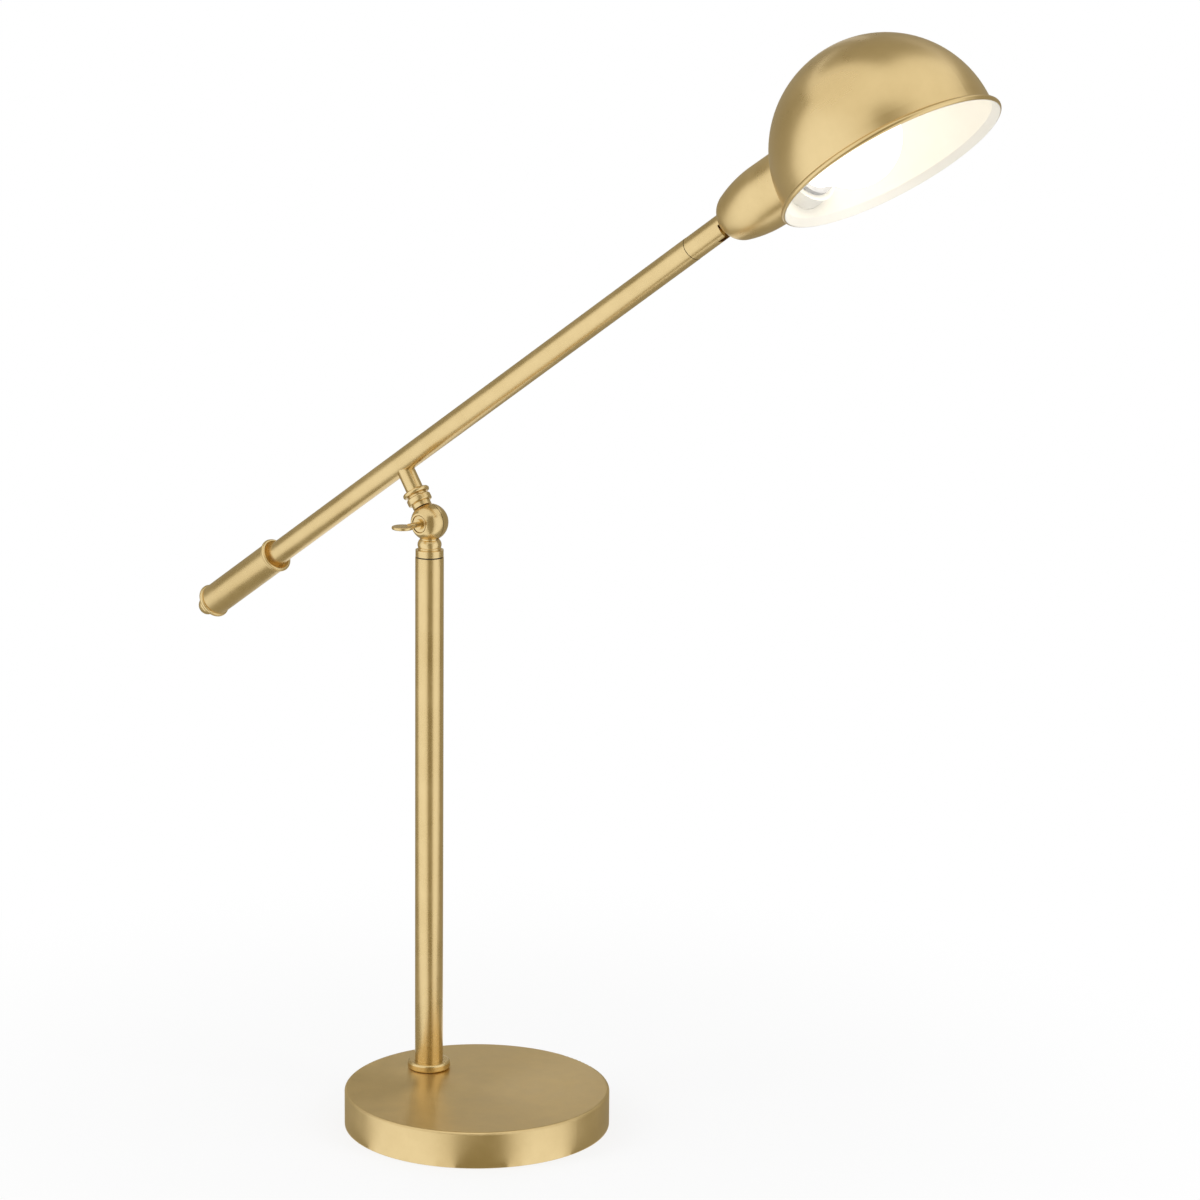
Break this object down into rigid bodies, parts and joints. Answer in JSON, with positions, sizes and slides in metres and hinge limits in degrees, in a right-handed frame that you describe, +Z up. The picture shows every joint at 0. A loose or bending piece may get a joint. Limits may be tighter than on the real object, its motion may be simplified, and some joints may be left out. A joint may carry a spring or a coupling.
{
  "type": "desk lamp",
  "caption": "Brushed brass desk lamp: round weighted base, offset pole, ball knuckle, counterweighted boom and a dome shade with a frosted bulb.",
  "frame": {"origin": "centre of the round base on the table plane", "axes": "+Z up, +X the way the arm points, +Y to the left of the arm"},
  "size_m": [0.6486, 0.178, 0.7483],
  "materials": {
    "brass": "satin",
    "white_enamel": "gloss",
    "iron": "matte",
    "felt": "matte",
    "steel": "satin",
    "dark_fibre": "matte",
    "porcelain": "gloss",
    "aluminium": "satin",
    "frosted_glass": "matte"
  },
  "bodies": {
    "base": {"base_cover": "brass", "base_weight": "iron", "base_pad": "felt", "cord_bushing": "dark_fibre", "foot_collar": "brass", "pole": "brass", "tie_rod": "steel", "tie_washer": "steel", "tie_nut": "steel", "pole_cap": "brass", "swivel_disc": "dark_fibre"},
    "swivel": {"lower_knuckle": "brass", "swivel_screw": "steel", "knuckle_disc": "dark_fibre", "key_washer": "brass"},
    "key": {"clamp_key": "brass"},
    "arm": {"upper_knuckle": "brass", "stem": "brass", "stem_nipple": "steel", "boom": "brass", "boom_insert": "brass", "counterweight_sleeve": "brass", "counterweight_slug": "steel", "counterweight_finial": "brass", "boom_plug": "brass", "swivel_retainer": "steel"},
    "boom_end": {"swivel_stub": "brass", "head_hinge_pin": "brass"},
    "head": {"head_knuckle": "brass", "socket_cup": "brass", "cup_nut": "steel", "lampholder": "porcelain", "screw_shell": "brass", "centre_contact": "brass", "terminal_screws": "steel", "bulb_glass": "frosted_glass", "bulb_cap": "aluminium", "bulb_eyelet": "brass", "shade": "brass", "shade_ring": "white_enamel"}
  },
  "joints": [
    {"name": "pole_swivel", "type": "hinge", "parent": "base", "child": "swivel", "pos_m": [-0.05137, 0.0074, 0.3816], "axis": [0, 0, 1], "range_deg": [-170, 170]},
    {"name": "arm_tilt", "type": "hinge", "parent": "swivel", "child": "arm", "pos_m": [-0.05137, 0.0074, 0.4044], "axis": [0, 1, 0], "range_deg": [-38, 54]},
    {"name": "clamp_turn", "type": "hinge", "parent": "swivel", "child": "key", "pos_m": [-0.05137, -0.0046, 0.4044], "axis": [0, -1, 0], "range_deg": [-120, 120]},
    {"name": "boom_end_turn", "type": "hinge", "parent": "arm", "child": "boom_end", "pos_m": [0.17008, 0.0074, 0.60757], "axis": [0.829, 0, 0.5592], "range_deg": [-90, 90]},
    {"name": "shade_tilt", "type": "hinge", "parent": "boom_end", "child": "head", "pos_m": [0.18335, 0.0074, 0.61651], "axis": [0, 1, 0], "range_deg": [-1, 30]}
  ]
}
